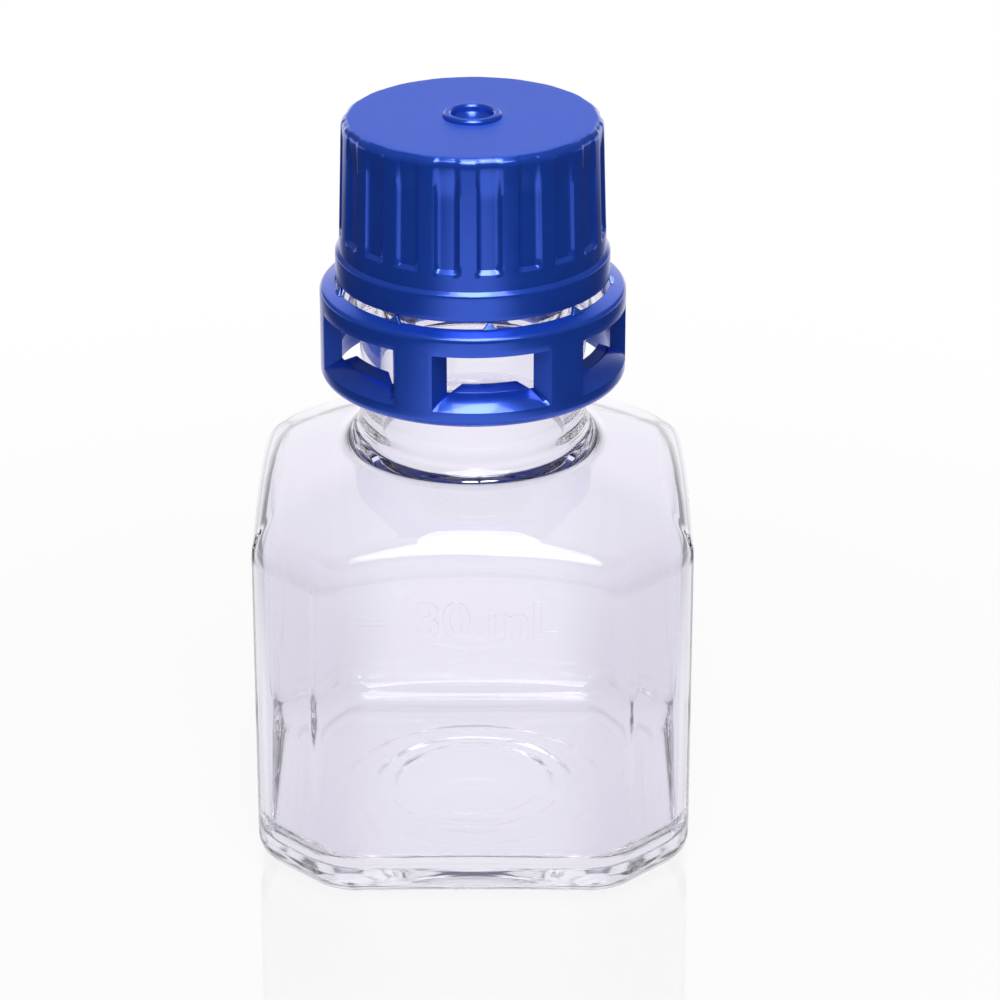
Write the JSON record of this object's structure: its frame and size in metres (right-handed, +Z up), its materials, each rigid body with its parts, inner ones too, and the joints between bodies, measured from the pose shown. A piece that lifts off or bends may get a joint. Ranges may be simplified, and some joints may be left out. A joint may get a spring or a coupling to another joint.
{
  "type": "square media bottle",
  "caption": "Small clear square bottle with cut corners, a domed shoulder, a fluted blue screw cap and a windowed tamper-evident ring below it.",
  "frame": {"origin": "centre of the base, on the plane that the bottle stands on", "axes": "+Z up along the axis of the neck and the cap, -Y out of the front face with the volume mark, +X to the right"},
  "size_m": [0.0386, 0.0386, 0.0668],
  "materials": {
    "clear_copolyester": "clear, glossy",
    "closure_blue": "moulded, satin to glossy",
    "liner_foam": "closed-cell foam sheet"
  },
  "bodies": {
    "bottle": {"bottle": "clear_copolyester"},
    "liner": {"sealing_liner": "liner_foam"},
    "cap": {"cap_shell": "closure_blue"},
    "tamper_ring": {"tamper_ring": "closure_blue", "break_bridge_1": "closure_blue", "break_bridge_2": "closure_blue", "break_bridge_3": "closure_blue", "break_bridge_4": "closure_blue", "break_bridge_5": "closure_blue", "break_bridge_6": "closure_blue", "break_bridge_7": "closure_blue", "break_bridge_8": "closure_blue", "break_bridge_9": "closure_blue"},
    "pawl_1": {"retaining_pawl_1": "closure_blue"},
    "pawl_2": {"retaining_pawl_2": "closure_blue"},
    "pawl_3": {"retaining_pawl_3": "closure_blue"},
    "pawl_4": {"retaining_pawl_4": "closure_blue"},
    "pawl_5": {"retaining_pawl_5": "closure_blue"},
    "pawl_6": {"retaining_pawl_6": "closure_blue"}
  },
  "joints": [
    {"name": "cap_rise", "type": "slide", "parent": "bottle", "child": "liner", "axis": [0, 0, 1], "range_m": [0, 0.0135]},
    {"name": "cap_turn", "type": "hinge", "parent": "liner", "child": "cap", "pos_m": [0, 0, 0.06485], "axis": [0, 0, 1], "range_deg": [0, 1530]},
    {"name": "ring_turn", "type": "hinge", "parent": "bottle", "child": "tamper_ring", "pos_m": [0, 0, 0.047], "axis": [0, 0, 1], "continuous": true},
    {"name": "pawl_1_flex", "type": "hinge", "parent": "tamper_ring", "child": "pawl_1", "pos_m": [0.00163, -0.01196, 0.04543], "axis": [0.9909, 0.1349, 0], "range_deg": [0, 30], "stiffness_Nm_per_rad": 0.002},
    {"name": "pawl_2_flex", "type": "hinge", "parent": "tamper_ring", "child": "pawl_2", "pos_m": [0.01117, -0.00457, 0.04543], "axis": [0.3786, 0.9255, 0], "range_deg": [0, 30], "stiffness_Nm_per_rad": 0.002},
    {"name": "pawl_3_flex", "type": "hinge", "parent": "tamper_ring", "child": "pawl_3", "pos_m": [0.00954, 0.00739, 0.04543], "axis": [-0.6122, 0.7907, 0], "range_deg": [0, 30], "stiffness_Nm_per_rad": 0.002},
    {"name": "pawl_4_flex", "type": "hinge", "parent": "tamper_ring", "child": "pawl_4", "pos_m": [-0.00163, 0.01196, 0.04543], "axis": [-0.9909, -0.1349, 0], "range_deg": [0, 30], "stiffness_Nm_per_rad": 0.002},
    {"name": "pawl_5_flex", "type": "hinge", "parent": "tamper_ring", "child": "pawl_5", "pos_m": [-0.01117, 0.00457, 0.04543], "axis": [-0.3786, -0.9255, 0], "range_deg": [0, 30], "stiffness_Nm_per_rad": 0.002},
    {"name": "pawl_6_flex", "type": "hinge", "parent": "tamper_ring", "child": "pawl_6", "pos_m": [-0.00954, -0.00739, 0.04543], "axis": [0.6122, -0.7907, 0], "range_deg": [0, 30], "stiffness_Nm_per_rad": 0.002}
  ],
  "couplings": [
    {"joint": "cap_rise", "follows": "cap_turn", "m_per_rad": 0.00050532}
  ]
}
